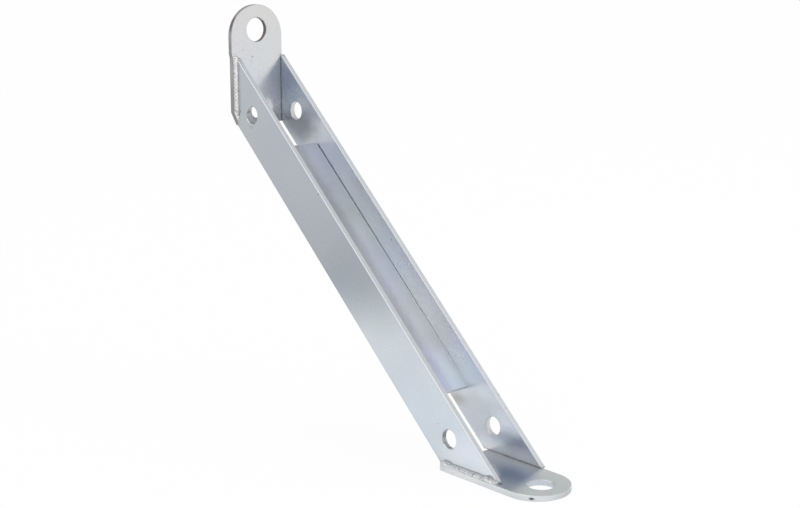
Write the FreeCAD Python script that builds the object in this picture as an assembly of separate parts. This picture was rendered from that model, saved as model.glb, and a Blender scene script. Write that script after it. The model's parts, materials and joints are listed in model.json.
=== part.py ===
import FreeCAD, Part
import math
import os

# A welded support arm of zinc-plated steel. Two side plates run down at a slope from a wall
# lug to a foot lug, with a web plate between them. Millimetres, +Z up, +X away from the wall.
# The origin is the centre of the wall lug's hole, on the face that lies against the wall.

# Lugs, both cut from the same flat bar
LUG_WIDTH = 35.0
LUG_THICKNESS = 3.0
LUG_LENGTH = 67.0
LUG_HOLE_DIAMETER = 13.5
LUG_HOLE_TO_END = 14.0
SCREW_HOLE_DIAMETER = 9.0
SCREW_HOLE_TO_END = 7.5

# Slope of the arm, measured along the side plates' upper edge
ARM_RUN = 208.5
ARM_RISE = 192.0
HOLE_TO_PLATE = 15.0

# Side plates
PLATE_THICKNESS = 3.0
PLATE_DEPTH = 28.0
CLEAR_WIDTH = 28.0
NEAR_LEDGE = 3.0
PIN_HOLE_DIAMETER = 10.0
PIN_EDGE = 13.5

# Web plate, set at mid-depth, with a root gap that closes towards the foot
WEB_THICKNESS = 2.5
PIN_TO_WEB = 25.0
WEB_ROOT_GAP = 0.5

# Welds and edges
WEB_WELD_LEG = 2.6
NEAR_WELD_RISE = 1.5
WELD_TOE = 0.2
WELD_CROWN = 0.14
WELD_END_SHARE = 0.45
EDGE_BREAK = 0.25

# Near edge of the wall lug, dressed with the weld, and its lower corner ground away
DRESS_DEPTH = 0.7
DRESS_RUN_IN = 3.0
CORNER_WIDTH = 3.5
CORNER_HEIGHT = 7.5

# Places that follow from the sizes above
SLOPE = math.atan2(ARM_RISE, ARM_RUN)
UPPER_X = LUG_THICKNESS
UPPER_Z = -HOLE_TO_PLATE
FOOT_TOP_Z = UPPER_Z - ARM_RISE
TIP_X = UPPER_X + ARM_RUN
FOOT_HOLE_X = TIP_X + HOLE_TO_PLATE
NEAR_OUTER_Y = -LUG_WIDTH / 2 + NEAR_LEDGE
NEAR_INNER_Y = NEAR_OUTER_Y + PLATE_THICKNESS
FAR_INNER_Y = NEAR_INNER_Y + CLEAR_WIDTH
FAR_OUTER_Y = FAR_INNER_Y + PLATE_THICKNESS
FAR_LEDGE = FAR_OUTER_Y - LUG_WIDTH / 2
WALL_SEAT = PLATE_DEPTH / math.cos(SLOPE)
FOOT_SEAT = PLATE_DEPTH / math.sin(SLOPE)

ALONG = FreeCAD.Vector(math.cos(SLOPE), 0, -math.sin(SLOPE))
DOWN = FreeCAD.Vector(-math.sin(SLOPE), 0, -math.cos(SLOPE))
ACROSS = FreeCAD.Vector(0, 1, 0)


def arm_point(along, y, depth):
    """Point at a distance along the upper edge, across the arm, and below the edge."""
    corner = FreeCAD.Vector(UPPER_X, y, UPPER_Z)
    return corner + ALONG * along + DOWN * depth


def polygon_prism(corners, direction):
    """Flat plate: a closed outline pushed along a direction."""
    wire = Part.makePolygon(corners + corners[:1])
    return Part.Face(wire).extrude(direction)


def pin_centres():
    """Centres (x, z) of the two cross-holes, an equal way from the lug's face and the edge."""
    drop = PIN_EDGE / math.cos(SLOPE)
    upper_x = UPPER_X + PIN_EDGE
    upper_z = UPPER_Z - PIN_EDGE * math.tan(SLOPE) - drop
    lower_z = FOOT_TOP_Z + PIN_EDGE
    lower_x = UPPER_X + (UPPER_Z - lower_z - drop) / math.tan(SLOPE)
    return [(upper_x, upper_z), (lower_x, lower_z)]


def along_arm(x, z):
    """Distance of a point along the arm, from the upper corner."""
    return (x - UPPER_X) * math.cos(SLOPE) + (UPPER_Z - z) * math.sin(SLOPE)


def on_mitre(edge):
    """True for an edge that lies in the face of a mitred end, which is left sharp for the weld."""
    points = [vertex.Point for vertex in edge.Vertexes]
    at_wall = all(abs(point.x - UPPER_X) < EDGE_BREAK / 2 for point in points)
    at_foot = all(abs(point.z - FOOT_TOP_Z) < EDGE_BREAK / 2 for point in points)
    return at_wall or at_foot


def side_plate(outer_y, inner_y):
    """One side plate: a bar mitred to both lugs, with the two cross-holes drilled through."""
    first_y = min(outer_y, inner_y)
    corners = [
        FreeCAD.Vector(UPPER_X, first_y, UPPER_Z),
        FreeCAD.Vector(TIP_X, first_y, FOOT_TOP_Z),
        FreeCAD.Vector(TIP_X - FOOT_SEAT, first_y, FOOT_TOP_Z),
        FreeCAD.Vector(UPPER_X, first_y, UPPER_Z - WALL_SEAT),
    ]
    plate = polygon_prism(corners, ACROSS * PLATE_THICKNESS)
    for x, z in pin_centres():
        mouth = FreeCAD.Vector(x, first_y - PLATE_THICKNESS, z)
        drill = Part.makeCylinder(PIN_HOLE_DIAMETER / 2, 3 * PLATE_THICKNESS, mouth, ACROSS)
        plate = plate.cut(drill)
    worn = [edge for edge in plate.Edges if not on_mitre(edge) and not is_corner_line(edge)]
    return plate.makeChamfer(EDGE_BREAK, worn)


def is_corner_line(edge):
    """True for a straight edge that runs through the plate's thickness."""
    return abs(edge.BoundBox.YLength - PLATE_THICKNESS) < EDGE_BREAK / 2


def web_plate():
    """The flat web: it seats on the near plate and leaves a tapering gap at the far one."""
    (upper_x, upper_z), (lower_x, lower_z) = pin_centres()
    start = along_arm(upper_x, upper_z) + PIN_TO_WEB
    end = along_arm(lower_x, lower_z) - PIN_TO_WEB
    depth = (PLATE_DEPTH - WEB_THICKNESS) / 2
    corners = [
        arm_point(start, NEAR_INNER_Y, depth),
        arm_point(end, NEAR_INNER_Y, depth),
        arm_point(end, FAR_INNER_Y, depth),
        arm_point(start, FAR_INNER_Y - WEB_ROOT_GAP, depth),
    ]
    return polygon_prism(corners, DOWN * WEB_THICKNESS)


def flat_lug(holes):
    """A lug lying flat: underside at z = 0, round end towards +X, holes as (x, diameter) pairs."""
    radius = LUG_WIDTH / 2
    arc_x = LUG_HOLE_TO_END - radius
    square_x = LUG_HOLE_TO_END - LUG_LENGTH
    near = FreeCAD.Vector(arc_x, -radius, 0)
    far = FreeCAD.Vector(arc_x, radius, 0)
    outline = [
        Part.Arc(near, FreeCAD.Vector(LUG_HOLE_TO_END, 0, 0), far).toShape(),
        Part.makeLine(far, FreeCAD.Vector(square_x, radius, 0)),
        Part.makeLine(FreeCAD.Vector(square_x, radius, 0), FreeCAD.Vector(square_x, -radius, 0)),
        Part.makeLine(FreeCAD.Vector(square_x, -radius, 0), near),
    ]
    lug = Part.Face(Part.Wire(outline)).extrude(FreeCAD.Vector(0, 0, LUG_THICKNESS))
    for x, diameter in holes:
        below = FreeCAD.Vector(x, 0, -LUG_THICKNESS)
        lug = lug.cut(Part.makeCylinder(diameter / 2, 3 * LUG_THICKNESS, below))
    rims = [edge for edge in lug.Edges if edge.BoundBox.ZLength < EDGE_BREAK]
    return lug.makeChamfer(EDGE_BREAK, rims)


def wall_lug():
    """The lug stood on its square end, its back on x = 0, with a screw hole between the plates."""
    upright = FreeCAD.Rotation(ACROSS, -90)
    screw_x = LUG_HOLE_TO_END - LUG_LENGTH + SCREW_HOLE_TO_END
    lug = flat_lug([(0, LUG_HOLE_DIAMETER), (screw_x, SCREW_HOLE_DIAMETER)])
    lug.Placement = FreeCAD.Placement(FreeCAD.Vector(LUG_THICKNESS, 0, 0), upright)
    return lug


def dressed(shape):
    """A piece at the wall joint without what is ground off the near edge and the lower corner."""
    edge_y = -LUG_WIDTH / 2
    end_z = LUG_HOLE_TO_END - LUG_LENGTH
    spare = LUG_THICKNESS
    below_z = min(end_z, UPPER_Z - WALL_SEAT) - spare
    ground_y = edge_y + DRESS_DEPTH
    below_y = ground_y + CORNER_WIDTH * (end_z + CORNER_HEIGHT - below_z) / CORNER_HEIGHT
    outline = [
        (edge_y - spare, UPPER_Z + DRESS_RUN_IN),
        (edge_y, UPPER_Z + DRESS_RUN_IN),
        (ground_y, UPPER_Z),
        (ground_y, end_z + CORNER_HEIGHT),
        (below_y, below_z),
        (edge_y - spare, below_z),
    ]
    corners = [FreeCAD.Vector(-spare, y, z) for y, z in outline]
    return shape.cut(polygon_prism(corners, FreeCAD.Vector(4 * spare, 0, 0)))


def foot_lug():
    """The lug laid flat under the side plates' lower mitre."""
    lug = flat_lug([(0, LUG_HOLE_DIAMETER)])
    lug.translate(FreeCAD.Vector(FOOT_HOLE_X, 0, FOOT_TOP_Z - LUG_THICKNESS))
    return lug


def fillet_bead(corner, run, first_leg, second_leg):
    """A weld bead in a corner: two flat legs and a domed crown, pushed along the joint."""
    first = corner + first_leg
    second = corner + second_leg
    crown = corner + (first_leg + second_leg) * (0.5 + WELD_CROWN)
    outline = [
        Part.makeLine(corner, first),
        Part.Arc(first, crown, second).toShape(),
        Part.makeLine(second, corner),
    ]
    bead = Part.Face(Part.Wire(outline)).extrude(run)
    ends = [edge for edge in bead.Edges if isinstance(edge.Curve, Part.Circle)]
    radius = min(first_leg.Length, second_leg.Length) * WELD_END_SHARE
    return bead.makeFillet(radius, ends)


def wall_bead(y, into_lug, into_plate):
    """A bead down the joint between the wall lug and the mitre of a side plate."""
    start = FreeCAD.Vector(UPPER_X, y, UPPER_Z)
    return fillet_bead(start, FreeCAD.Vector(0, 0, -WALL_SEAT), into_lug, into_plate)


def foot_bead(y, into_lug, into_plate):
    """A bead along the joint between the foot lug and the mitre of a side plate."""
    lug_start = FOOT_HOLE_X + LUG_HOLE_TO_END - LUG_LENGTH
    start_x = max(lug_start, TIP_X - FOOT_SEAT)
    start = FreeCAD.Vector(start_x, y, FOOT_TOP_Z)
    return fillet_bead(start, FreeCAD.Vector(TIP_X - start_x, 0, 0), into_lug, into_plate)


def web_bead(inner_y, side):
    """A bead along the web's underside; side is the direction away from the side plate."""
    (upper_x, upper_z), (lower_x, lower_z) = pin_centres()
    start = along_arm(upper_x, upper_z) + PIN_TO_WEB
    end = along_arm(lower_x, lower_z) - PIN_TO_WEB
    corner = arm_point(start, inner_y, (PLATE_DEPTH + WEB_THICKNESS) / 2)
    return fillet_bead(corner, ALONG * (end - start), ACROSS * side * WEB_WELD_LEG, DOWN * WEB_WELD_LEG)


def sub_parts():
    """Every piece of the arm by name."""
    near_leg = NEAR_LEDGE - WELD_TOE
    far_leg = FAR_LEDGE
    lug_edge_y = LUG_WIDTH / 2
    out_x = FreeCAD.Vector(1, 0, 0)
    up = FreeCAD.Vector(0, 0, 1)
    return {
        "near_side_plate": side_plate(NEAR_OUTER_Y, NEAR_INNER_Y),
        "far_side_plate": side_plate(FAR_INNER_Y, FAR_OUTER_Y),
        "web_plate": web_plate(),
        "wall_lug": dressed(wall_lug()),
        "foot_lug": foot_lug(),
        "wall_weld_near": dressed(wall_bead(NEAR_OUTER_Y, ACROSS * -near_leg, out_x * NEAR_WELD_RISE)),
        "wall_weld_far": wall_bead(lug_edge_y, out_x * -far_leg, ACROSS * far_leg),
        "foot_weld_near": foot_bead(NEAR_OUTER_Y, ACROSS * -near_leg, up * NEAR_WELD_RISE),
        "foot_weld_far": foot_bead(lug_edge_y, up * -far_leg, ACROSS * far_leg),
        "web_weld_near": web_bead(NEAR_INNER_Y, 1),
        "web_weld_far": web_bead(FAR_INNER_Y, -1),
    }


os.makedirs("parts", exist_ok=True)
for name, shape in sub_parts().items():
    print(name, shape.isValid(), len(shape.Solids), round(shape.Volume, 1))
    shape.exportStep("parts/" + name + ".step")
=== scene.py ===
import json
import math

import bmesh
import bpy
from mathutils import Matrix, Vector, noise


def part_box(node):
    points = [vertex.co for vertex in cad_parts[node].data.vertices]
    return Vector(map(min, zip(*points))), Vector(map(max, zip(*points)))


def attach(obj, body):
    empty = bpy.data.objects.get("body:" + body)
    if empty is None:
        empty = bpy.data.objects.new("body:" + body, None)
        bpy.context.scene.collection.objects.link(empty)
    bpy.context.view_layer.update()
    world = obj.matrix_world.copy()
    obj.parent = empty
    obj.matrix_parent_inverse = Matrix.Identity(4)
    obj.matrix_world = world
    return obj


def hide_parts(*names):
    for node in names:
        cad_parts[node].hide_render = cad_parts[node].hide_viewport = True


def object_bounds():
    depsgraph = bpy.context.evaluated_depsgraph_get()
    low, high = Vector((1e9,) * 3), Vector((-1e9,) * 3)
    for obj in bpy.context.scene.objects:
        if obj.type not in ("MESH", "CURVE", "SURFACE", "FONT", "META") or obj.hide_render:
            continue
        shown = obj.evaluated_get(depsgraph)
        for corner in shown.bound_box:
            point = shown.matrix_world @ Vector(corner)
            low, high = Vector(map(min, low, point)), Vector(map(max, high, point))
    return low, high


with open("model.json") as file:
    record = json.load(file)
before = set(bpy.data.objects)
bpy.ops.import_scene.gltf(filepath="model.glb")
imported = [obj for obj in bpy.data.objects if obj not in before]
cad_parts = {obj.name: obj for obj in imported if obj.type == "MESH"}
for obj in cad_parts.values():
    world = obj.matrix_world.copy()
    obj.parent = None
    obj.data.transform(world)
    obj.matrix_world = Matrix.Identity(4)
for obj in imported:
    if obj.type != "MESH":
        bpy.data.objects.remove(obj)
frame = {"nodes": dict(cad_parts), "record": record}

bl_info = {
    "name": "Zinc Plated Support Arm",
    "version": (1, 0, 0),
    "blender": (4, 5, 0),
    "location": "3D View > Sidebar > Support Arm",
    "description": "Dresses a welded support arm in bright zinc plate and lights it on a pale stage",
    "category": "Object",
}

CAD_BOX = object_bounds()
MM = 0.001

# Places read from the frame
WALL_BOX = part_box("wall_lug")
FOOT_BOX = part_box("foot_lug")
NEAR_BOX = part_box("near_side_plate")
FAR_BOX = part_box("far_side_plate")
ARM_RUN = NEAR_BOX[1].x - NEAR_BOX[0].x
ARM_RISE = NEAR_BOX[1].z - NEAR_BOX[0].z
SLOPE = math.atan2(ARM_RISE, ARM_RUN)
FLOOR_Z = CAD_BOX[0].z
FLOOR_GLOW = 0.94
MIRRORED_FLOOR_GLOW = 0.35
CENTRE = (CAD_BOX[0] + CAD_BOX[1]) / 2
BORES = {mount["name"]: mount for mount in frame["record"]["mounts"] if mount["kind"] == "bore"}

# Finish of the zinc
METAL_SHARE = 0.88
SHEAR_SHADE = 0.75
FOOT_JOINT_START = 13 * MM

# A weld bead's mesh; the crown, taper and ripple front are shares of a unit leg or ripple
BEAD_SEGMENTS = 28
RINGS_PER_RIPPLE = 9
LEAST_RINGS = 24
CROWN_SHARE = 0.75
CROWN_RISE = 0.16
RIPPLE_FRONT = 0.12
TAPER_LEGS = 0.55
LEAST_SCALE = 0.02
CRATER_FROM_END = 1.5 * MM
CRATER_WIDTH = 0.9 * MM
WALL_BEAD_LEAD = 1.3 * MM

# Stage, in metres
FLOOR_SIZE = 6.0
FLOOR_DROP = 0.1 * MM
CURTAIN_RADIUS = 1.4
CURTAIN_INNER = 0.2
CURTAIN_LIFT = 1 * MM
CURTAIN_RINGS = 12
CURTAIN_STEPS = 64
HEM_FADE = 0.14
SENSOR_WIDTH = 36.0

# Painted reflections and shade, with some stains and blemishes, fixed to the object: the
# broad patches are painted reflections and shade, the small ones are marks. Centre and
# half-widths in millimetres, colour, softness, strength
# Wall lug face: broad painted reflections, lighter and warmer at the top and bluish low down, then a dark dot
# and faint lines and marks.
WALL_LUG_MARKS_AND_PAINTED_REFLECTIONS = (
    ((3, 0, 16), (8, 40, 26), (0.745, 0.725, 0.715), 0.9, 0.9),
    ((3, -8, -38), (8, 22, 24), (0.70, 0.74, 0.79), 0.8, 0.8),
    ((3, -3.3, -14.9), (1, 0.55, 0.5), (0.12, 0.11, 0.11), 0.5, 0.85),
    ((3, -4.2, -17), (1, 0.3, 7.5), (0.50, 0.49, 0.48), 0.8, 0.5),
    ((3, -15.4, -12.8), (1, 1.2, 0.35), (0.35, 0.34, 0.33), 0.6, 0.6),
    ((3, 9, -22), (1, 3.2, 0.3), (0.52, 0.52, 0.53), 0.8, 0.35),
)
# Wall lug's narrow sides: tones laid on their painted shade, darker near the top and lighter lower down.
WALL_LUG_SIDE_PAINTED_SHADE = (
    ((1.5, -15.3, 4.5), (4, 4.5, 8), (0.19, 0.155, 0.155), 0.7, 0.85),
    ((1.5, -17.5, -3), (3, 2, 6), (0.52, 0.49, 0.50), 0.9, 0.7),
    ((1.5, -17, -23), (3, 2, 15), (0.53, 0.54, 0.55), 0.9, 0.8),
)
# Foot lug top: two broad painted reflections, and a painted shadow under the near plate's tip.
FOOT_LUG_PAINTED_REFLECTIONS_AND_SHADOW = (
    ((228, 0, -207), (30, 30, 4), (0.61, 0.68, 0.68), 0.9, 0.8),
    ((208, 0, -207), (26, 17, 4), (0.47, 0.53, 0.65), 0.9, 1.0),
    # Painted shadow under the near plate's tip, which stands clear of the lug.
    ((212, -14, -207), (2.6, 1.7, 1.5), (0.10, 0.10, 0.10), 0.6, 0.85),
)
# Foot lug's narrow sides: a small dark mark at the toe, then broad painted reflections and shade, darker on
# the toe's end and lighter along the near side.
FOOT_LUG_SIDE_MARK_AND_PAINTED_LIGHT = (
    ((233.6, -14, -208.6), (1.7, 1.7, 0.8), (0.10, 0.09, 0.085), 0.5, 0.95),
    ((240, 5, -208.5), (9, 15, 3), (0.52, 0.53, 0.53), 0.9, 0.9),
    ((190, -17.5, -208.5), (20, 3, 3), (0.86, 0.87, 0.88), 0.9, 0.8),
    ((224, -16.5, -208.5), (12, 4, 3), (0.66, 0.70, 0.72), 0.9, 0.8),
)
# Near plate: broad painted reflections, greyer at the upper end, darker in the middle, lighter and bluer
# towards the lower end, then two small dark marks.
NEAR_PLATE_MARKS_AND_PAINTED_REFLECTIONS = (
    ((16, -14, -56), (30, 5, 34), (0.68, 0.71, 0.72), 0.9, 0.9),
    ((170, -14, -192), (62, 5, 36), (0.72, 0.79, 0.84), 0.9, 0.8),
    ((100, -14, -128), (40, 5, 30), (0.57, 0.63, 0.69), 0.9, 0.8),
    ((192, -14, -203), (36, 5, 18), (0.90, 0.95, 1.0), 0.9, 0.9),
    ((48.4, -14.2, -56.8), (0.5, 1.3, 0.7), (0.25, 0.25, 0.26), 0.6, 0.8),
    ((15.5, -14.5, -52.5), (3.2, 1, 1.6), (0.50, 0.51, 0.53), 0.9, 0.5),
)
# Far plate: broad painted reflections and shade, darker and bluer by the wall, lighter in the middle, darker
# under the web's lower end and white at the bottom corner.
FAR_PLATE_PAINTED_REFLECTIONS_AND_SHADE = (
    ((5, 16.5, -28), (30, 5, 26), (0.38, 0.44, 0.57), 0.9, 1.0),
    ((18, 16.5, -54), (26, 5, 15), (0.31, 0.33, 0.36), 0.8, 1.0),
    ((70, 16.5, -90), (42, 5, 32), (0.95, 0.99, 1.0), 0.9, 0.7),
    ((162, 16.5, -190), (28, 5, 17), (0.66, 0.70, 0.74), 0.6, 1.0),
    ((188, 16.5, -198), (24, 5, 8), (0.41, 0.465, 0.545), 0.9, 1.0),
    ((200, 16.5, -210), (42, 5, 11), (1.0, 1.0, 1.0), 0.7, 1.0),
    ((126, 16.5, -138), (46, 5, 34), (0.94, 0.96, 0.98), 0.9, 0.9),
    ((150, 16.5, -185), (12, 5, 5), (0.50, 0.47, 0.43), 0.9, 0.7),
)
# Web: broad painted reflections and shade, darker over the upper part, lighter and bluer at the lower end,
# greener along the far side.
WEB_PAINTED_REFLECTIONS_AND_SHADE = (
    ((58, 2, -84), (76, 40, 60), (0.355, 0.37, 0.41), 0.9, 1.0),
    ((160, -6, -178), (46, 26, 38), (0.62, 0.66, 0.86), 0.9, 1.0),
    ((110, 14, -130), (70, 7, 60), (0.44, 0.49, 0.46), 0.9, 0.6),
    ((158, 11, -176), (34, 9, 28), (0.66, 0.76, 0.73), 0.9, 0.6),
)


def colour_setting(name, description, default):
    """A colour property of three channels."""
    return bpy.props.FloatVectorProperty(
        name=name, description=description, subtype="COLOR", size=3, min=0, max=1, default=default
    )


class SurfaceSettings(bpy.types.PropertyGroup):
    """Colours and grain of the zinc plate"""

    plate_colour: colour_setting(
        "Near plate colour", "Zinc on the near side plate", (0.66, 0.71, 0.76)
    )
    # Painted light: the far plate is the same zinc as the near plate, given a lighter colour.
    far_colour_painted_lighter: colour_setting(
        "Far plate colour", "Zinc on the far side plate, brighter and more matt", (0.85, 0.89, 0.95)
    )
    # Painted shade: the web is the same zinc as the side plates, given a darker colour.
    web_colour_painted_darker: colour_setting(
        "Web colour", "Zinc on the web plate, a little bluer than the rest", (0.49, 0.50, 0.54)
    )
    lug_colour: colour_setting(
        "Lug colour", "Zinc on the two lugs", (0.71, 0.72, 0.73)
    )
    weld_colour: colour_setting(
        "Weld colour", "Zinc over the weld beads", (0.95, 0.95, 0.95)
    )
    film_blue: colour_setting(
        "Blue film", "Tint where the clear film on the zinc is thick", (0.50, 0.55, 0.74)
    )
    film_green: colour_setting(
        "Green film", "Faint second tint of the film", (0.60, 0.66, 0.60)
    )
    side_colour: colour_setting(
        "Sheared side colour", "Zinc on the narrow sides of the side plates", (0.76, 0.79, 0.82)
    )
    roughness: bpy.props.FloatProperty(
        name="Roughness",
        description="Mean roughness of the zinc",
        subtype="FACTOR",
        min=0.05,
        max=1,
        default=0.13,
    )


class WeldSettings(bpy.types.PropertyGroup):
    """Sizes of the rippled weld beads"""

    pitch: bpy.props.FloatProperty(
        name="Ripple pitch",
        description="Distance from one ripple to the next",
        unit="LENGTH",
        min=0.0004,
        max=0.005,
        default=2.1 * MM,
    )
    ripple: bpy.props.FloatProperty(
        name="Ripple height",
        description="Height of a ripple's crest over its trough",
        unit="LENGTH",
        min=0,
        max=0.001,
        default=0.30 * MM,
    )
    lump: bpy.props.FloatProperty(
        name="Lump height",
        description="Slow change of the bead's size along its run",
        unit="LENGTH",
        min=0,
        max=0.002,
        default=0.42 * MM,
    )


class StageSettings(bpy.types.PropertyGroup):
    """Camera, floor and lamps"""

    camera_place: bpy.props.FloatVectorProperty(
        name="Camera place",
        description="Where the camera stands",
        subtype="TRANSLATION",
        unit="LENGTH",
        size=3,
        default=(0.7081, -0.5188, 0.0635),
    )
    azimuth: bpy.props.FloatProperty(
        name="Azimuth",
        description="Compass turn of the view; zero looks along +Y",
        subtype="ANGLE",
        default=math.radians(48.39),
    )
    elevation: bpy.props.FloatProperty(
        name="Elevation",
        description="Height of the view over the horizon",
        subtype="ANGLE",
        default=math.radians(12.47),
    )
    roll: bpy.props.FloatProperty(
        name="Roll",
        description="Turn of the camera about its own line of sight",
        subtype="ANGLE",
        default=-0.0019,
    )
    lens: bpy.props.FloatProperty(
        name="Focal length",
        description="Lens of the camera, on a sensor 36 mm wide",
        subtype="DISTANCE_CAMERA",
        default=69.27,
    )
    floor_colour: colour_setting(
        "Floor colour", "Pale matt floor", (0.95, 0.95, 0.95)
    )
    fill: bpy.props.FloatProperty(
        name="Fill",
        description="Strength of the room's light on matt surfaces",
        min=0,
        max=2,
        default=0.85,
    )
    curtain_grey: bpy.props.FloatProperty(
        name="Curtain grey",
        description="Tone of the curtain that the metal reflects on the room's dark side",
        subtype="FACTOR",
        min=0,
        max=1,
        default=0.56,
    )
    hem: bpy.props.FloatProperty(
        name="Hem",
        description="How near the curtain's hem comes to the middle of the arm",
        unit="LENGTH",
        min=0.2,
        default=0.22,
    )


# Small helpers for node trees


def add_node(tree, kind, **values):
    """A new node with its settings and the values of its unlinked sockets."""
    node = tree.nodes.new(kind)
    for name, value in values.items():
        if hasattr(node, name):
            setattr(node, name, value)
        else:
            node.inputs[name.replace("_", " ")].default_value = value
    return node


def new_group(name, inputs, outputs):
    """An empty shader node group with named sockets, and its two end nodes."""
    group = bpy.data.node_groups.new(name, "ShaderNodeTree")
    for label, kind, value in inputs:
        socket = group.interface.new_socket(label, in_out="INPUT", socket_type=kind)
        if value is not None:
            socket.default_value = value
    for label, kind in outputs:
        group.interface.new_socket(label, in_out="OUTPUT", socket_type=kind)
    start = group.nodes.new("NodeGroupInput")
    end = group.nodes.new("NodeGroupOutput")
    return group, start, end


def join(tree, source, target):
    """Links an output socket to an input socket."""
    tree.links.new(source, target)


def map_range(tree, value, low, high, to_low=0.0, to_high=1.0):
    """Value rescaled from one range to another, clamped; returns the result socket."""
    node = tree.nodes.new("ShaderNodeMapRange")
    node.inputs["From Min"].default_value = low
    node.inputs["From Max"].default_value = high
    node.inputs["To Min"].default_value = to_low
    node.inputs["To Max"].default_value = to_high
    join(tree, value, node.inputs["Value"])
    return node.outputs["Result"]


def math_node(tree, operation, first, second):
    """Result socket of a two-value sum; each value is a socket or a number."""
    node = tree.nodes.new("ShaderNodeMath")
    node.operation = operation
    for socket, value in zip(node.inputs, (first, second)):
        if isinstance(value, (int, float)):
            socket.default_value = value
        else:
            join(tree, value, socket)
    return node.outputs["Value"]


def mix_colours(tree, share, first, second, blend="MIX"):
    """Result socket of a colour mix; each colour is a socket or an RGB value."""
    node = tree.nodes.new("ShaderNodeMix")
    node.data_type = "RGBA"
    node.blend_type = blend
    for socket, value in ((node.inputs[0], share), (node.inputs[6], first), (node.inputs[7], second)):
        if isinstance(value, bpy.types.NodeSocket):
            join(tree, value, socket)
        elif isinstance(value, (int, float)):
            socket.default_value = value
        else:
            socket.default_value = (*value, 1.0)
    return node.outputs[2]


def new_material(name):
    """A material with nodes, and its node tree."""
    material = bpy.data.materials.new(name)
    material.use_nodes = True
    return material, material.node_tree


def placed(mesh, name):
    """The object that a finished bmesh becomes, linked to the scene; the bmesh is freed."""
    data = bpy.data.meshes.new(name)
    mesh.to_mesh(data)
    mesh.free()
    item = bpy.data.objects.new(name, data)
    bpy.context.scene.collection.objects.link(item)
    return item


# Surface effects that several materials share


def zinc_film_group():
    """Cloudy tint of the clear passivation film, and the faint mottle of the zinc itself."""
    group, start, end = new_group(
        "Zinc film",
        [
            ("Vector", "NodeSocketVector", None),
            ("Zinc", "NodeSocketColor", (0.6, 0.6, 0.6, 1)),
            ("Blue", "NodeSocketColor", (0.5, 0.5, 0.7, 1)),
            ("Green", "NodeSocketColor", (0.6, 0.65, 0.6, 1)),
            ("Amount", "NodeSocketFloat", 0.4),
        ],
        [("Colour", "NodeSocketColor"), ("Cloud", "NodeSocketFloat")],
    )
    cloud = add_node(group, "ShaderNodeTexNoise", Scale=20.0, Detail=2.0, Roughness=0.45)
    second = add_node(group, "ShaderNodeTexNoise", Scale=34.0, Detail=1.0, Roughness=0.4)
    spangle = add_node(group, "ShaderNodeTexNoise", Scale=900.0, Detail=2.0, Roughness=0.6)
    for node in (cloud, second, spangle):
        join(group, start.outputs["Vector"], node.inputs["Vector"])
    blue_share = math_node(
        group, "MULTIPLY", map_range(group, cloud.outputs[0], 0.35, 0.8), start.outputs["Amount"]
    )
    green_share = math_node(
        group, "MULTIPLY", map_range(group, second.outputs[0], 0.5, 0.8), start.outputs["Amount"]
    )
    tinted = mix_colours(group, blue_share, start.outputs["Zinc"], start.outputs["Blue"])
    tinted = mix_colours(group, green_share, tinted, start.outputs["Green"])
    grey = map_range(group, spangle.outputs[0], 0.3, 0.7, 0.955, 1.03)
    grey_colour = group.nodes.new("ShaderNodeCombineColor")
    for channel in grey_colour.inputs:
        join(group, grey, channel)
    tinted = mix_colours(group, 1.0, tinted, grey_colour.outputs[0], "MULTIPLY")
    join(group, tinted, end.inputs["Colour"])
    join(group, cloud.outputs[0], end.inputs["Cloud"])
    return group


def rolled_grain_group():
    """Fine lines along the bar's rolling direction over a soft orange peel."""
    group, start, end = new_group(
        "Rolled grain",
        [("Vector", "NodeSocketVector", None), ("Lines", "NodeSocketFloat", 0.5)],
        [("Height", "NodeSocketFloat"), ("Grain", "NodeSocketFloat")],
    )
    stretch = add_node(group, "ShaderNodeMapping", Scale=(90.0, 2600.0, 2600.0))
    join(group, start.outputs["Vector"], stretch.inputs["Vector"])
    lines = add_node(group, "ShaderNodeTexNoise", Scale=1.0, Detail=3.0, Roughness=0.6)
    join(group, stretch.outputs[0], lines.inputs["Vector"])
    peel = add_node(group, "ShaderNodeTexNoise", Scale=420.0, Detail=2.0, Roughness=0.5)
    join(group, start.outputs["Vector"], peel.inputs["Vector"])
    share = math_node(group, "MULTIPLY", lines.outputs[0], start.outputs["Lines"])
    height = math_node(group, "ADD", share, math_node(group, "MULTIPLY", peel.outputs[0], 0.6))
    join(group, height, end.inputs["Height"])
    join(group, lines.outputs[0], end.inputs["Grain"])
    return group


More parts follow.
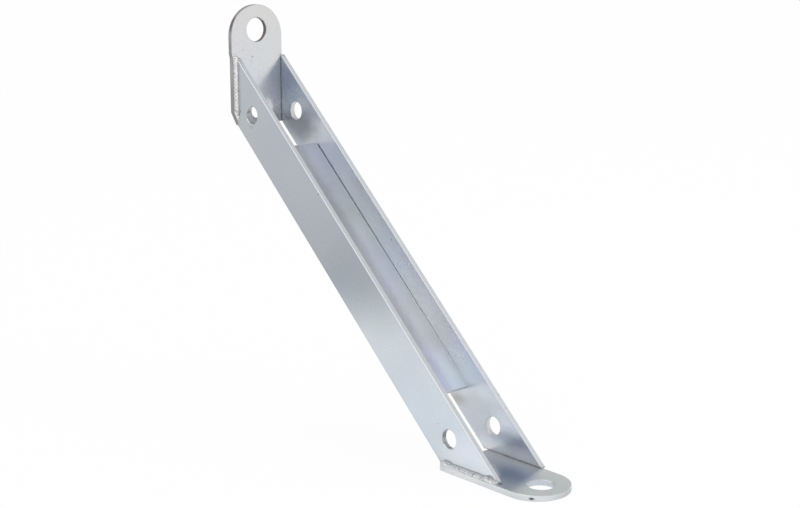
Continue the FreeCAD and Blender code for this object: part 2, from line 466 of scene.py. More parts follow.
def handling_marks_group():
    """Sparse hairline scratches and tiny pits from tumbling in the plating barrel."""
    group, start, end = new_group(
        "Handling marks",
        [("Vector", "NodeSocketVector", None), ("Density", "NodeSocketFloat", 0.5)],
        [("Scratch", "NodeSocketFloat"), ("Pit", "NodeSocketFloat")],
    )
    warp = add_node(group, "ShaderNodeTexNoise", Scale=60.0, Detail=1.0)
    join(group, start.outputs["Vector"], warp.inputs["Vector"])
    total = None
    for turn, scale in ((0.5, 150.0), (1.9, 210.0), (2.6, 120.0)):
        mapping = add_node(
            group, "ShaderNodeMapping",
            Rotation=(turn, turn * 0.7, turn * 1.3), Scale=(scale, scale * 0.06, scale),
        )
        join(group, start.outputs["Vector"], mapping.inputs["Vector"])
        cells = add_node(group, "ShaderNodeTexVoronoi", feature="DISTANCE_TO_EDGE", Scale=1.0)
        join(group, mapping.outputs[0], cells.inputs["Vector"])
        line = map_range(group, cells.outputs["Distance"], 0.0, 0.007, 1.0, 0.0)
        total = line if total is None else math_node(group, "MAXIMUM", total, line)
    patch = map_range(group, warp.outputs[0], 0.60, 0.72)
    scratch = math_node(group, "MULTIPLY", total, patch)
    scratch = math_node(group, "MULTIPLY", scratch, start.outputs["Density"])
    pits = add_node(group, "ShaderNodeTexVoronoi", feature="F1", Scale=170.0)
    join(group, start.outputs["Vector"], pits.inputs["Vector"])
    pit = map_range(group, pits.outputs["Distance"], 0.05, 0.11, 1.0, 0.0)
    rare = map_range(group, warp.outputs[0], 0.60, 0.70)
    join(group, scratch, end.inputs["Scratch"])
    join(group, math_node(group, "MULTIPLY", pit, rare), end.inputs["Pit"])
    return group


def cut_edge_group():
    """Masks by the way a face looks: sheared sides of a bar, and the broken arrises beside them."""
    group, start, end = new_group(
        "Cut edge",
        [("Vector", "NodeSocketVector", None), ("Flatness", "NodeSocketFloat", 1.0)],
        [("Side", "NodeSocketFloat"), ("Arris", "NodeSocketFloat"), ("Shear", "NodeSocketFloat")],
    )
    side = map_range(group, start.outputs["Flatness"], 0.2, 0.6, 1.0, 0.0)
    rise = map_range(group, start.outputs["Flatness"], 0.3, 0.6)
    fall = map_range(group, start.outputs["Flatness"], 0.8, 0.96, 1.0, 0.0)
    stretch = add_node(group, "ShaderNodeMapping", Scale=(1500.0, 60.0, 1500.0))
    join(group, start.outputs["Vector"], stretch.inputs["Vector"])
    shear = add_node(group, "ShaderNodeTexNoise", Scale=1.0, Detail=2.0, Roughness=0.7)
    join(group, stretch.outputs[0], shear.inputs["Vector"])
    join(group, side, end.inputs["Side"])
    join(group, math_node(group, "MULTIPLY", rise, fall), end.inputs["Arris"])
    join(group, shear.outputs[0], end.inputs["Shear"])
    return group


def patch_group():
    """A patch of colour, used both for painted reflections and shade and for stains and
    blemishes: full at the middle of its unit ball and gone at its ragged rim.
    """
    group, start, end = new_group(
        "Patch",
        [
            ("Vector", "NodeSocketVector", None),
            ("Softness", "NodeSocketFloat", 0.5),
            ("Strength", "NodeSocketFloat", 1.0),
        ],
        [("Mask", "NodeSocketFloat")],
    )
    ragged = add_node(group, "ShaderNodeTexNoise", Scale=1.7, Detail=2.0)
    reach = add_node(group, "ShaderNodeVectorMath", operation="LENGTH")
    join(group, start.outputs["Vector"], ragged.inputs["Vector"])
    join(group, start.outputs["Vector"], reach.inputs[0])
    shift = map_range(group, ragged.outputs[0], 0.3, 0.7, -0.12, 0.12)
    inside = math_node(group, "SUBTRACT", 1.0, math_node(group, "ADD", reach.outputs["Value"], shift))
    share = map_range(group, math_node(group, "DIVIDE", inside, start.outputs["Softness"]), 0.0, 1.0)
    smooth = math_node(group, "MULTIPLY", math_node(group, "MULTIPLY", share, share), math_node(
        group, "SUBTRACT", 3.0, math_node(group, "MULTIPLY", share, 2.0)
    ))
    join(group, math_node(group, "MULTIPLY", smooth, start.outputs["Strength"]), end.inputs["Mask"])
    return group


def bore_wall_group():
    """Mask of a hole's wall and of the soft dark ring beside it. The Vector is measured from
    the hole's axis, with the part along the axis taken out."""
    group, start, end = new_group(
        "Bore wall",
        [("Vector", "NodeSocketVector", None), ("Radius", "NodeSocketFloat", 0.005)],
        [("Wall", "NodeSocketFloat")],
    )
    reach = add_node(group, "ShaderNodeVectorMath", operation="LENGTH")
    join(group, start.outputs["Vector"], reach.inputs[0])
    past = math_node(group, "SUBTRACT", reach.outputs["Value"], start.outputs["Radius"])
    join(group, map_range(group, past, 0.05 * MM, 0.3 * MM, 1.0, 0.0), end.inputs["Wall"])
    return group


def joint_line_group():
    """Dark hairline along a welded joint, and faint painted shade that darkens the surface near
    the corner, by the distance from it.
    """
    group, start, end = new_group(
        "Joint line",
        [("Vector", "NodeSocketVector", None), ("Distance", "NodeSocketFloat", 1.0)],
        [("Line", "NodeSocketFloat"), ("Painted corner shade", "NodeSocketFloat")],
    )
    ragged = add_node(group, "ShaderNodeTexNoise", Scale=500.0, Detail=2.0)
    join(group, start.outputs["Vector"], ragged.inputs["Vector"])
    shift = map_range(group, ragged.outputs[0], 0.3, 0.7, -0.15 * MM, 0.15 * MM)
    distance = math_node(group, "ADD", start.outputs["Distance"], shift)
    join(group, map_range(group, distance, 0.25 * MM, 0.65 * MM, 1.0, 0.0), end.inputs["Line"])
    join(group, map_range(group, distance, 0.5 * MM, 3.5 * MM, 1.0, 0.0), end.inputs["Painted corner shade"])
    return group


def group_node(tree, group, **links):
    """A group placed in a tree, with sockets linked or given a value."""
    node = tree.nodes.new("ShaderNodeGroup")
    node.node_tree = group
    for name, value in links.items():
        socket = node.inputs[name]
        if isinstance(value, bpy.types.NodeSocket):
            join(tree, value, socket)
        elif isinstance(value, (int, float)):
            socket.default_value = value
        else:
            socket.default_value = (*value, 1.0)
    return node


GROUPS = {}


def shared_group(maker):
    """The group that a maker builds, made once and found again by the maker's name."""
    key = maker.__name__
    if key not in GROUPS:
        GROUPS[key] = maker()
    return GROUPS[key]


def patched(tree, place, base, patches):
    """The base colour with a material's patches laid over it, each in its own place."""
    for centre, size, colour, softness, strength in patches:
        scale = tuple(1 / (MM * half) for half in size)
        shift = tuple(-at / half for at, half in zip(centre, size))
        spot = add_node(tree, "ShaderNodeMapping", Location=shift, Scale=scale)
        join(tree, place, spot.inputs["Vector"])
        patch = group_node(
            tree, shared_group(patch_group), Vector=spot.outputs[0], Softness=softness, Strength=strength
        )
        base = mix_colours(tree, patch.outputs["Mask"], base, colour)
    return base


def bore_share(tree, place, names):
    """Mask of the walls of the bores with these names."""
    total = 0.0
    for name in names:
        bore = BORES[name]
        keep = tuple(1.0 - abs(part) for part in bore["axis"])
        shift = tuple(-at * share for at, share in zip(bore["pos_m"], keep))
        centred = add_node(tree, "ShaderNodeMapping", Location=shift, Scale=keep)
        join(tree, place, centred.inputs["Vector"])
        radius = bore["dims"]["r_mm"] * MM
        wall = group_node(tree, shared_group(bore_wall_group), Vector=centred.outputs[0], Radius=radius)
        total = math_node(tree, "MAXIMUM", total, wall.outputs["Wall"])
    return total


def plate_joint_distance(tree, place):
    """Distance of a side plate's surface from the nearer of its two welded mitres."""
    parts = tree.nodes.new("ShaderNodeSeparateXYZ")
    join(tree, place, parts.inputs[0])
    from_wall = math_node(tree, "SUBTRACT", parts.outputs["X"], NEAR_BOX[0].x)
    from_foot = math_node(tree, "SUBTRACT", parts.outputs["Z"], NEAR_BOX[0].z)
    return math_node(tree, "MINIMUM", from_wall, from_foot)


def lug_joint_distance(tree, place, axis, low, high):
    """Distance of a lug's surface from the far plate's inner face, between low and high only."""
    parts = tree.nodes.new("ShaderNodeSeparateXYZ")
    join(tree, place, parts.inputs[0])
    across = math_node(tree, "SUBTRACT", parts.outputs["Y"], FAR_BOX[0].y)
    across = math_node(tree, "ABSOLUTE", across, 0.0)
    past_low = math_node(tree, "SUBTRACT", low, parts.outputs[axis])
    past_high = math_node(tree, "SUBTRACT", parts.outputs[axis], high)
    return math_node(tree, "MAXIMUM", across, math_node(tree, "MAXIMUM", past_low, past_high))


def zinc_material(name, colour, turn, thickness_axis, **style):
    """Zinc-plated bar: cloudy film, rolled grain, hairlines, sheared sides, bores in painted
    shade, a dark joint line with painted shade beside it, and patches of painted reflections
    and shade with a few stains.
    turn lays the local X axis along the bar; thickness_axis is X, Y or Z of the turned bar.
    style: film, seed, rough, relief, side, arris and bore colours, bores, patches and side
    patches, and joint (the function that measures from the weld, or None)."""
    surface = bpy.context.scene.arm_surface
    seed = style["seed"]
    material, tree = new_material(name)
    shader = tree.nodes["Principled BSDF"]
    shader.inputs["Metallic"].default_value = METAL_SHARE
    place = tree.nodes.new("ShaderNodeTexCoord")
    spot = place.outputs["Object"]
    along = add_node(tree, "ShaderNodeMapping", Rotation=turn, Location=(seed, seed, seed))
    join(tree, spot, along.inputs["Vector"])
    vector = along.outputs[0]
    way = add_node(tree, "ShaderNodeMapping", vector_type="NORMAL", Rotation=turn)
    join(tree, place.outputs["Normal"], way.inputs["Vector"])
    parts = tree.nodes.new("ShaderNodeSeparateXYZ")
    join(tree, way.outputs[0], parts.inputs[0])
    flat = math_node(tree, "ABSOLUTE", parts.outputs[thickness_axis], 0.0)

    # Painted reflections and shade, and marks, laid on the base colour.
    ground = patched(tree, spot, colour, style["patches"])
    tint = group_node(
        tree,
        shared_group(zinc_film_group),
        Vector=vector,
        Zinc=ground,
        Blue=surface.film_blue,
        Green=surface.film_green,
        Amount=style["film"],
    )
    grain = group_node(tree, shared_group(rolled_grain_group), Vector=vector, Lines=0.5)
    marks = group_node(tree, shared_group(handling_marks_group), Vector=vector, Density=0.12)
    edge = group_node(tree, shared_group(cut_edge_group), Vector=vector, Flatness=flat)

    sheared = map_range(tree, edge.outputs["Shear"], 0.35, 0.7, 0.0, 0.3)
    side = mix_colours(tree, sheared, style["side"], tuple(SHEAR_SHADE * part for part in style["side"]))
    # Painted shade and reflections, and marks, laid on the narrow sides.
    side = patched(tree, spot, side, style["side_patches"])
    base = mix_colours(tree, edge.outputs["Arris"], tint.outputs["Colour"], style["arris"])
    base = mix_colours(tree, edge.outputs["Side"], base, side)
    # The bore colour is painted shade inside the holes.
    if style["bores"]:
        wall = math_node(tree, "MULTIPLY", bore_share(tree, spot, style["bores"]), edge.outputs["Side"])
        base = mix_colours(tree, wall, base, style["bore"])
    if style["joint"]:
        joint = group_node(
            tree, shared_group(joint_line_group), Vector=spot, Distance=style["joint"](tree, spot)
        )
        # The wider tint beside the joint is painted shade in the corner; the hairline is the dark joint
        # itself.
        painted_corner_shade = math_node(tree, "MULTIPLY", joint.outputs["Painted corner shade"], 0.18)
        line = math_node(tree, "MULTIPLY", joint.outputs["Line"], 0.5)
        base = mix_colours(tree, painted_corner_shade, base, (0.4, 0.38, 0.37))
        base = mix_colours(tree, line, base, (0.15, 0.16, 0.16))
    base = mix_colours(tree, marks.outputs["Scratch"], base, (0.80, 0.80, 0.80))
    base = mix_colours(tree, math_node(tree, "MULTIPLY", marks.outputs["Pit"], 0.7), base, (0.16, 0.15, 0.14))
    join(tree, base, shader.inputs["Base Color"])

    mean = style["rough"]
    rough = map_range(tree, grain.outputs["Grain"], 0.3, 0.7, mean - 0.005, mean + 0.01)
    rough = math_node(tree, "ADD", rough, map_range(tree, tint.outputs["Cloud"], 0.35, 0.7, -0.02, 0.03))
    rough = math_node(tree, "ADD", rough, math_node(tree, "MULTIPLY", edge.outputs["Side"], 0.16))
    join(tree, rough, shader.inputs["Roughness"])

    dull = math_node(tree, "MULTIPLY", edge.outputs["Side"], edge.outputs["Shear"])
    height = math_node(tree, "SUBTRACT", grain.outputs["Height"], marks.outputs["Scratch"])
    height = math_node(tree, "SUBTRACT", height, math_node(tree, "MULTIPLY", marks.outputs["Pit"], 2.0))
    height = math_node(tree, "ADD", height, math_node(tree, "MULTIPLY", dull, 2.5))
    bump = add_node(tree, "ShaderNodeBump", Strength=style["relief"], Distance=0.02 * MM)
    join(tree, height, bump.inputs["Height"])
    join(tree, bump.outputs[0], shader.inputs["Normal"])
    return material


def weld_material(name, shade):
    """Zinc over a weld bead: painted shade in the ripple troughs and along the toes, dark
    specks, fine grit. shade is its share of the weld colour; below one it makes a darker copy
    of the weld zinc, which is painted shade."""
    surface = bpy.context.scene.arm_surface
    material, tree = new_material(name)
    shader = tree.nodes["Principled BSDF"]
    shader.inputs["Metallic"].default_value = METAL_SHARE
    place = tree.nodes.new("ShaderNodeTexCoord")
    tint = group_node(
        tree,
        shared_group(zinc_film_group),
        Vector=place.outputs["Object"],
        Zinc=tuple(shade * part for part in surface.weld_colour),
        Blue=surface.film_blue,
        Green=surface.film_green,
        Amount=0.15,
    )
    grit = add_node(tree, "ShaderNodeTexNoise", Scale=1400.0, Detail=3.0, Roughness=0.6)
    join(tree, place.outputs["Object"], grit.inputs["Vector"])
    crest = tree.nodes.new("ShaderNodeAttribute")
    crest.attribute_name = "crest"
    # Painted shade: darker in the ripple troughs and along the toes, where the crest value is low.
    trough = map_range(tree, crest.outputs["Fac"], 0.05, 0.4, 0.6, 0.0)
    specks = add_node(tree, "ShaderNodeTexNoise", Scale=420.0, Detail=2.0, Roughness=0.6)
    join(tree, place.outputs["Object"], specks.inputs["Vector"])
    dark = math_node(tree, "MAXIMUM", trough, map_range(tree, specks.outputs[0], 0.54, 0.68, 0.0, 0.7))
    base = mix_colours(tree, dark, tint.outputs["Colour"], (0.26, 0.25, 0.25))
    join(tree, base, shader.inputs["Base Color"])
    rough = map_range(tree, grit.outputs[0], 0.3, 0.7, 0.12, 0.36)
    join(tree, rough, shader.inputs["Roughness"])
    bump = add_node(tree, "ShaderNodeBump", Strength=0.5, Distance=0.05 * MM)
    join(tree, grit.outputs[0], bump.inputs["Height"])
    join(tree, bump.outputs[0], shader.inputs["Normal"])
    return material


def dress(node, material):
    """Gives every slot of a CAD node the finished material."""
    mesh = frame["nodes"][node].data
    for index in range(len(mesh.materials)):
        mesh.materials[index] = material


# Weld beads


def bead_section(share):
    """Point of the bead's section for a share of the way round it, with both legs one unit long,
    and how far up the crown it is. The first three quarters run over the crown from toe to toe;
    the rest comes back by the root."""
    if share <= CROWN_SHARE:
        angle = share / CROWN_SHARE * math.pi / 2
        crown = math.sin(2 * angle)
        reach = (1 + CROWN_RISE * crown) / (math.cos(angle) + math.sin(angle))
        return reach * math.cos(angle), reach * math.sin(angle), crown
    back = (share - CROWN_SHARE) / (1 - CROWN_SHARE)
    if back < 0.5:
        return 0.0, 1 - 2 * back, 0.0
    return 2 * back - 1, 0.0, 0.0


def bell(distance, centre, width):
    """One at the centre, falling off smoothly on both sides."""
    return math.exp(-(((distance - centre) / width) ** 2))


def weld_bead(
    name, corner, run, first, second, seed, blobs=(), narrows=0.0, swell=(1.0, 1.0), blunt=0.0, melts=0.0
):
    """A rippled fillet bead on two legs. A drum is made and cut into rings, and each ring is
    moved onto the section, so the crown carries crescent ripples, slow lumps, a thick start, a
    crater and its blobs (distance, width, rise). Over its last length, narrows, it loses its
    first leg. swell says how far, in legs, it may spread along each. blunt is how far into its
    taper it starts, and melts how clean its toe on the first leg stays."""
    weld = bpy.context.scene.arm_weld
    length = run.length
    way = run.normalized()
    leg = (first.length + second.length) / 2
    rings = max(LEAST_RINGS, round(length / weld.pitch * RINGS_PER_RIPPLE))
    mesh = bmesh.new()
    bmesh.ops.create_cone(
        mesh, cap_ends=True, cap_tris=False, segments=BEAD_SEGMENTS, radius1=1, radius2=1, depth=1
    )
    sides = [edge for edge in mesh.edges if abs(edge.verts[0].co.z - edge.verts[1].co.z) > 0.5]
    bmesh.ops.subdivide_edges(mesh, edges=sides, cuts=rings, use_grid_fill=True)
    crest_layer = mesh.verts.layers.float.new("crest")
    for vertex in mesh.verts:
        distance = (vertex.co.z + 0.5) * length
        share = (math.atan2(vertex.co.y, vertex.co.x) / (2 * math.pi)) % 1.0
        x, y, crown = bead_section(share)
        bow = 0.8 * weld.pitch * (1 - crown)
        wander = 0.4 * noise.noise(Vector((distance * 300, seed, 0)))
        phase = ((distance + bow) / weld.pitch + wander) % 1.0
        crest = (1 - phase) ** 0.6 if phase > RIPPLE_FRONT else phase / RIPPLE_FRONT
        slow = noise.noise(Vector((distance * 240, seed * 3.1, 5.0)))
        quick = noise.noise(Vector((distance * 620, seed * 1.7, 9.0)))
        grow = weld.ripple * (crest - 0.6) + weld.lump * (slow + 0.5 * quick)
        grow -= 0.9 * weld.lump * bell(distance, length - CRATER_FROM_END, CRATER_WIDTH)
        for centre, width, rise in blobs:
            share_of_blob = bell(distance, centre, width)
            grow = grow * (1 - 0.8 * share_of_blob) + rise * share_of_blob
            crest = max(crest, share_of_blob)
        end = min(distance + blunt, length - distance) / (TAPER_LEGS * leg)
        taper = math.sqrt(max(0.0, 1 - (1 - min(1.0, end)) ** 2))
        toe = melts * max(0.0, min(1.0, 2 * (x - y)))
        scale = max(LEAST_SCALE, taper) * (1 + grow / leg * min(1.0, 0.25 + crown))
        x = min(x * scale, swell[0])
        y = min(y * scale, swell[1])
        if narrows:
            x *= max(LEAST_SCALE, min(1.0, (length - distance) / narrows))
        vertex.co = corner + way * distance + first * x + second * y
        vertex[crest_layer] = max(crest * crown, toe)
    bmesh.ops.recalc_face_normals(mesh, faces=mesh.faces)
    for face in mesh.faces:
        face.smooth = True
    return placed(mesh, name)


def seat_bead(bead, node, material):
    """Dresses a bead and lets it stand for its CAD node."""
    bead.data.materials.append(material)
    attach(bead, "root")
    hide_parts(node)


class ARM_OT_side_plates(bpy.types.Operator):
    """Dress the two side plates in zinc"""

    bl_idname = "arm.side_plates"
    bl_label = "Side plates"

    def execute(self, context):
        surface = context.scene.arm_surface
        mean = surface.roughness
        # The far plate's colour is a painted lighter copy of the near plate's zinc, and the bore colours are
        # painted shade in the cross holes, darker in the near plate than in the far one.
        near = ("near_side_plate", surface.plate_colour, NEAR_PLATE_MARKS_AND_PAINTED_REFLECTIONS, (0.44, 0.45, 0.46))
        far = ("far_side_plate", surface.far_colour_painted_lighter, FAR_PLATE_PAINTED_REFLECTIONS_AND_SHADE, (0.70, 0.71, 0.70))
        for (node, colour, patches, bore), rough, relief, seed in (
            (near, mean, 0.2, 0.0),
            (far, mean + 0.15, 0.03, 0.31),
        ):
            material = zinc_material(
                "zinc_" + node, colour, (0, -SLOPE, 0), "Y",
                film=0.3, seed=seed, rough=rough, relief=relief, side=tuple(surface.side_colour),
                arris=(0.62, 0.64, 0.67), bores=("upper_cross_hole", "lower_cross_hole"), bore=bore,
                patches=patches, side_patches=(), joint=plate_joint_distance,
            )
            dress(node, material)
        return {"FINISHED"}


class ARM_OT_web(bpy.types.Operator):
    """Dress the web plate in bluish zinc"""

    bl_idname = "arm.web"
    bl_label = "Web plate"

    def execute(self, context):
        surface = context.scene.arm_surface
        # The web's colour is painted shade, darker than the side plates.
        material = zinc_material(
            "zinc_web", surface.web_colour_painted_darker, (0, -SLOPE, 0), "Z",
            film=0.35, seed=0.77, rough=surface.roughness + 0.19, relief=0.12,
            side=tuple(surface.side_colour), arris=(0.5, 0.51, 0.53), bores=(),
            patches=WEB_PAINTED_REFLECTIONS_AND_SHADE, side_patches=(), joint=None,
        )
        dress("web_plate", material)
        return {"FINISHED"}


class ARM_OT_lugs(bpy.types.Operator):
    """Dress the wall lug and the foot lug"""

    bl_idname = "arm.lugs"
    bl_label = "Lugs"

    def execute(self, context):
        surface = context.scene.arm_surface

        def wall_joint(tree, place):
            """The wall lug meets the far plate from its lower end up to the plate's corner."""
            return lug_joint_distance(tree, place, "Z", WALL_BOX[0].z, NEAR_BOX[1].z)

        def foot_joint(tree, place):
            """The foot lug's joint with the far plate opens to a line over its outer half."""
            return lug_joint_distance(tree, place, "X", FOOT_BOX[0].x + FOOT_JOINT_START, NEAR_BOX[1].x)

        # The wall lug's side colour is painted shade on its narrow sides, much darker than the foot lug's,
        # and its bore colour is painted shade in its holes.
        wall = zinc_material(
            "zinc_wall_lug", surface.lug_colour, (0, math.pi / 2, 0), "Z",
            film=0.18, seed=0.12, rough=surface.roughness + 0.08, relief=0.18, side=(0.42, 0.39, 0.395),
            arris=(0.66, 0.65, 0.65), bores=("wall_lug_hole", "wall_screw_hole"), bore=(0.19, 0.165, 0.16),
            patches=WALL_LUG_MARKS_AND_PAINTED_REFLECTIONS, side_patches=WALL_LUG_SIDE_PAINTED_SHADE, joint=wall_joint,
        )
        # The foot lug's bore colour is painted shade in its hole, a little darker and bluer than the lug.
        foot = zinc_material(
            "zinc_foot_lug", surface.lug_colour, (0, 0, 0), "Z",
            film=0.22, seed=0.58, rough=surface.roughness + 0.07, relief=0.18, side=(0.76, 0.80, 0.83),
            arris=(0.72, 0.73, 0.72), bores=("foot_lug_hole",), bore=(0.66, 0.70, 0.76),
            patches=FOOT_LUG_PAINTED_REFLECTIONS_AND_SHADOW, side_patches=FOOT_LUG_SIDE_MARK_AND_PAINTED_LIGHT, joint=foot_joint,
        )
        dress("wall_lug", wall)
        dress("foot_lug", foot)
        return {"FINISHED"}


class ARM_OT_welds(bpy.types.Operator):
    """Lay the rippled weld beads along the joints"""

    bl_idname = "arm.welds"
    bl_label = "Weld beads"

    def execute(self, context):
        material = weld_material("zinc_over_weld", 1.0)
        # The near foot bead gets a darker copy of the weld zinc: painted shade.
        painted_shade_weld = weld_material("zinc_over_foot_weld_painted_shade", 0.78)
        across = Vector((0, 1, 0))
        along = Vector((math.cos(SLOPE), 0, -math.sin(SLOPE)))
        below = Vector((-math.sin(SLOPE), 0, -math.cos(SLOPE)))
        out = Vector((1, 0, 0))
        up = Vector((0, 0, 1))
        lug_edge = WALL_BOX[1].y
        near_outer = NEAR_BOX[0].y
        wall_face = WALL_BOX[1].x
        foot_face = FOOT_BOX[1].z

        low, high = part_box("wall_weld_near")
        top = high.z + WALL_BEAD_LEAD
        bead = weld_bead(
            "wall_bead_near", Vector((wall_face, near_outer, top)), Vector((0, 0, low.z - top)),
            across * (low.y - high.y), out * (high.x - low.x), 1.0,
            blobs=((1.6 * MM, 1.6 * MM, 0.45 * MM), (9.5 * MM, 1.2 * MM, 0.2 * MM)), narrows=5.0 * MM,
            swell=(1.0, 1.8),
        )
        seat_bead(bead, "wall_weld_near", material)

        low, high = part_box("wall_weld_far")
        bead = weld_bead(
            "wall_bead_far", Vector((wall_face, lug_edge, high.z)), Vector((0, 0, low.z - high.z)),
            out * (low.x - high.x), across * (high.y - low.y), 2.0,
        )
        seat_bead(bead, "wall_weld_far", material)

        low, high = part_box("foot_weld_near")
        bead = weld_bead(
            "foot_bead_near", Vector((low.x, near_outer, foot_face)), Vector((high.x - low.x, 0, 0)),
            across * (low.y - high.y), up * (high.z - low.z), 3.0,
            blobs=((1.0 * MM, 2.4 * MM, 1.3 * MM), (31.5 * MM, 2.6 * MM, 1.7 * MM)), swell=(1.06, 2.6),
            blunt=1.1 * MM, melts=0.8,
        )
        seat_bead(bead, "foot_weld_near", painted_shade_weld)

        low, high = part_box("foot_weld_far")
        bead = weld_bead(
            "foot_bead_far", Vector((low.x, lug_edge, foot_face)), Vector((high.x - low.x, 0, 0)),
            up * (low.z - high.z), across * (high.y - low.y), 4.0,
        )
        seat_bead(bead, "foot_weld_far", material)

        low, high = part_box("web_weld_near")
        leg = high.y - low.y
        corner_x = low.x + leg * math.sin(SLOPE)
        run = along * ((high.x - corner_x) / math.cos(SLOPE))
        for name, node, y, side, seed in (
            ("web_bead_near", "web_weld_near", NEAR_BOX[1].y, 1, 5.0),
            ("web_bead_far", "web_weld_far", FAR_BOX[0].y, -1, 6.0),
        ):
            bead = weld_bead(name, Vector((corner_x, y, high.z)), run, across * side * leg, below * leg, seed)
            seat_bead(bead, node, material)
        return {"FINISHED"}


class ARM_OT_stage(bpy.types.Operator):
    """Set the floor, the room light, the lamps and the camera"""

    bl_idname = "arm.stage"
    bl_label = "Stage"

    def execute(self, context):
        stage = context.scene.arm_stage
        make_floor(stage)
        make_room(stage)
        make_curtain(stage)
        make_lamps()
        make_camera(stage)
        context.scene.view_settings.view_transform = "Standard"
        return {"FINISHED"}


def make_floor(stage):
    """A pale matt floor under the foot lug."""
    mesh = bmesh.new()
    bmesh.ops.create_grid(mesh, x_segments=1, y_segments=1, size=FLOOR_SIZE)
    bmesh.ops.translate(mesh, verts=mesh.verts, vec=Vector((0, 0, FLOOR_Z - FLOOR_DROP)))
    floor = placed(mesh, "floor")
    material, tree = new_material("pale_floor")
    shader = tree.nodes["Principled BSDF"]
    shader.inputs["Base Color"].default_value = (*stage.floor_colour, 1)
    shader.inputs["Roughness"].default_value = 0.9
    shader.inputs["Specular IOR Level"].default_value = 0.0
    glow = tree.nodes.new("ShaderNodeEmission")
    mix = tree.nodes.new("ShaderNodeMixShader")
    path = tree.nodes.new("ShaderNodeLightPath")
    mirrored = math_node(tree, "ADD", path.outputs["Is Glossy Ray"], path.outputs["Is Transmission Ray"])
    glow_share = math_node(
        tree, "ADD", math_node(tree, "MULTIPLY", path.outputs["Is Camera Ray"], FLOOR_GLOW),
        math_node(tree, "MULTIPLY", mirrored, MIRRORED_FLOOR_GLOW),
    )
    join(tree, glow_share, mix.inputs[0])
    join(tree, shader.outputs[0], mix.inputs[1])
    join(tree, glow.outputs[0], mix.inputs[2])
    join(tree, mix.outputs[0], tree.nodes["Material Output"].inputs["Surface"])
    floor.data.materials.append(material)


def seen_share(tree):
    """One for rays that see the backdrop, straight or in metal and glass, and zero for the rest."""
    path = tree.nodes.new("ShaderNodeLightPath")
    seen = math_node(tree, "ADD", path.outputs["Is Camera Ray"], path.outputs["Is Glossy Ray"])
    return math_node(tree, "ADD", seen, path.outputs["Is Transmission Ray"])


def make_room(stage):
    """White to the camera and in reflections, softer as light on matt surfaces."""
    world = bpy.data.worlds.new("room")
    bpy.context.scene.world = world
    world.use_nodes = True
    tree = world.node_tree
    background = tree.nodes["Background"]
    join(tree, map_range(tree, seen_share(tree), 0.0, 1.0, stage.fill, 1.0), background.inputs["Strength"])
    background.inputs["Color"].default_value = (1, 1, 1, 1)


def make_curtain(stage):
    """Grey cloth round the room, which only reflections show: a low curtain on the dark side,
    with its hem drawn in over the floor, and a canopy over the back. Its borders fade out."""
    mesh = bmesh.new()
    foot = FLOOR_Z + CURTAIN_LIFT
    profile = [(CURTAIN_INNER, foot), (CURTAIN_RADIUS, foot)]
    for ring in range(1, CURTAIN_RINGS + 1):
        angle = math.pi / 2 * ring / CURTAIN_RINGS
        profile.append((CURTAIN_RADIUS * math.cos(angle), foot + CURTAIN_RADIUS * math.sin(angle)))
    line = [mesh.verts.new((reach, 0, height)) for reach, height in profile]
    edges = [mesh.edges.new(pair) for pair in zip(line, line[1:])]
    bmesh.ops.spin(
        mesh, geom=line + edges, axis=Vector((0, 0, 1)), cent=Vector((0, 0, 0)), steps=CURTAIN_STEPS,
        angle=2 * math.pi, use_merge=True,
    )
    bmesh.ops.translate(mesh, verts=mesh.verts, vec=Vector((CENTRE.x, CENTRE.y, 0)))
    curtain = placed(mesh, "curtain")
    curtain.visible_camera = False
    curtain.visible_diffuse = False
    curtain.visible_shadow = False
    curtain.data.materials.append(curtain_material(stage))


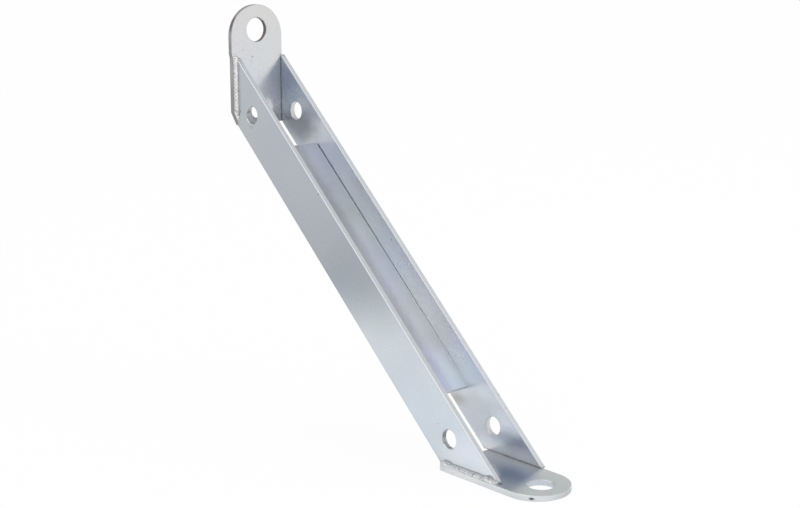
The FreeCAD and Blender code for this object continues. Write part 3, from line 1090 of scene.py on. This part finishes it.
def curtain_material(stage):
    """Grey cloth that covers some directions of the room and lets the rest through."""
    material, tree = new_material("grey_curtain")
    tree.nodes.remove(tree.nodes["Principled BSDF"])
    place = tree.nodes.new("ShaderNodeTexCoord")
    centred = add_node(tree, "ShaderNodeMapping", Location=tuple(-CENTRE))
    join(tree, place.outputs["Object"], centred.inputs["Vector"])
    unit = add_node(tree, "ShaderNodeVectorMath", operation="NORMALIZE")
    join(tree, centred.outputs[0], unit.inputs[0])
    way = tree.nodes.new("ShaderNodeSeparateXYZ")
    join(tree, unit.outputs[0], way.inputs[0])
    side = add_node(tree, "ShaderNodeVectorMath", operation="DOT_PRODUCT")
    side.inputs[1].default_value = (-0.45, -0.89, 0.0)
    join(tree, unit.outputs[0], side.inputs[0])
    low = math_node(
        tree, "MULTIPLY", map_range(tree, side.outputs["Value"], -0.15, 0.2),
        map_range(tree, way.outputs["Z"], 0.38, 0.6, 1.0, 0.0),
    )
    high = math_node(
        tree, "MULTIPLY", map_range(tree, way.outputs["Y"], -0.3, 0.15),
        map_range(tree, way.outputs["Z"], 0.12, 0.32),
    )
    flat = add_node(tree, "ShaderNodeMapping", Scale=(1.0, 1.0, 0.0))
    join(tree, centred.outputs[0], flat.inputs["Vector"])
    reach = add_node(tree, "ShaderNodeVectorMath", operation="LENGTH")
    join(tree, flat.outputs[0], reach.inputs[0])
    hem = map_range(tree, reach.outputs["Value"], stage.hem, stage.hem + HEM_FADE)
    hem = math_node(tree, "MAXIMUM", hem, map_range(tree, way.outputs["Z"], 0.1, 0.2))
    cover = math_node(tree, "MULTIPLY", math_node(tree, "MAXIMUM", low, high), hem)
    grey = tree.nodes.new("ShaderNodeEmission")
    tone = map_range(tree, way.outputs["Z"], -0.22, -0.05, stage.curtain_grey, 1.25 * stage.curtain_grey)
    tone = math_node(tree, "MULTIPLY", tone, map_range(tree, way.outputs["Z"], 0.1, 0.3, 1.0, 0.85))
    join(tree, tone, grey.inputs["Strength"])
    clear = tree.nodes.new("ShaderNodeBsdfTransparent")
    mix = tree.nodes.new("ShaderNodeMixShader")
    join(tree, cover, mix.inputs[0])
    join(tree, clear.outputs[0], mix.inputs[1])
    join(tree, grey.outputs[0], mix.inputs[2])
    join(tree, mix.outputs[0], tree.nodes["Material Output"].inputs["Surface"])
    return material


def make_lamps():
    """Soft boxes: one high on the right of the camera, one low on the left."""
    for name, place, size, power in (
        ("key", (1.4, 0.9, 1.5), 1.4, 9.0),
        ("side", (0.3, -1.6, 1.5), 1.4, 3.0),
    ):
        data = bpy.data.lights.new(name, "AREA")
        data.shape = "SQUARE"
        data.size = size
        data.energy = power
        lamp = bpy.data.objects.new(name, data)
        lamp.location = place
        aim = CENTRE - Vector(place)
        lamp.rotation_euler = aim.to_track_quat("-Z", "Y").to_euler()
        bpy.context.scene.collection.objects.link(lamp)


def make_camera(stage):
    """A camera at the photograph's angle."""
    data = bpy.data.cameras.new("camera")
    data.sensor_width = SENSOR_WIDTH
    data.lens = stage.lens
    data.clip_start = 0.01
    camera = bpy.data.objects.new("camera", data)
    camera.location = stage.camera_place
    level = math.cos(stage.elevation)
    forward = Vector((
        -math.sin(stage.azimuth) * level,
        math.cos(stage.azimuth) * level,
        -math.sin(stage.elevation),
    ))
    level_turn = forward.to_track_quat("-Z", "Y").to_matrix()
    camera.rotation_euler = (level_turn @ Matrix.Rotation(stage.roll, 3, "Z")).to_euler()
    bpy.context.scene.collection.objects.link(camera)
    bpy.context.scene.camera = camera


class ARM_PT_panel(bpy.types.Panel):
    """Lists the steps that dress the arm"""

    bl_idname = "ARM_PT_panel"
    bl_label = "Support Arm"
    bl_space_type = "VIEW_3D"
    bl_region_type = "UI"
    bl_category = "Support Arm"

    def draw(self, context):
        layout = self.layout
        for operator in OPERATORS:
            layout.operator(operator.bl_idname)
        for settings in (context.scene.arm_surface, context.scene.arm_weld, context.scene.arm_stage):
            box = layout.box()
            for name in settings.__annotations__:
                box.prop(settings, name)


OPERATORS = (ARM_OT_side_plates, ARM_OT_web, ARM_OT_lugs, ARM_OT_welds, ARM_OT_stage)
SETTINGS = (SurfaceSettings, WeldSettings, StageSettings)
CLASSES = (*SETTINGS, *OPERATORS, ARM_PT_panel)


def register():
    """Registers the classes and hangs the settings on the scene."""
    for item in CLASSES:
        bpy.utils.register_class(item)
    bpy.types.Scene.arm_surface = bpy.props.PointerProperty(type=SurfaceSettings)
    bpy.types.Scene.arm_weld = bpy.props.PointerProperty(type=WeldSettings)
    bpy.types.Scene.arm_stage = bpy.props.PointerProperty(type=StageSettings)


def unregister():
    """Takes the settings and the classes away again."""
    del bpy.types.Scene.arm_surface
    del bpy.types.Scene.arm_weld
    del bpy.types.Scene.arm_stage
    for item in reversed(CLASSES):
        bpy.utils.unregister_class(item)


def main():
    """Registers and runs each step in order."""
    register()
    bpy.ops.arm.side_plates()
    bpy.ops.arm.web()
    bpy.ops.arm.lugs()
    bpy.ops.arm.welds()
    bpy.ops.arm.stage()


if __name__ == "__main__":
    main()
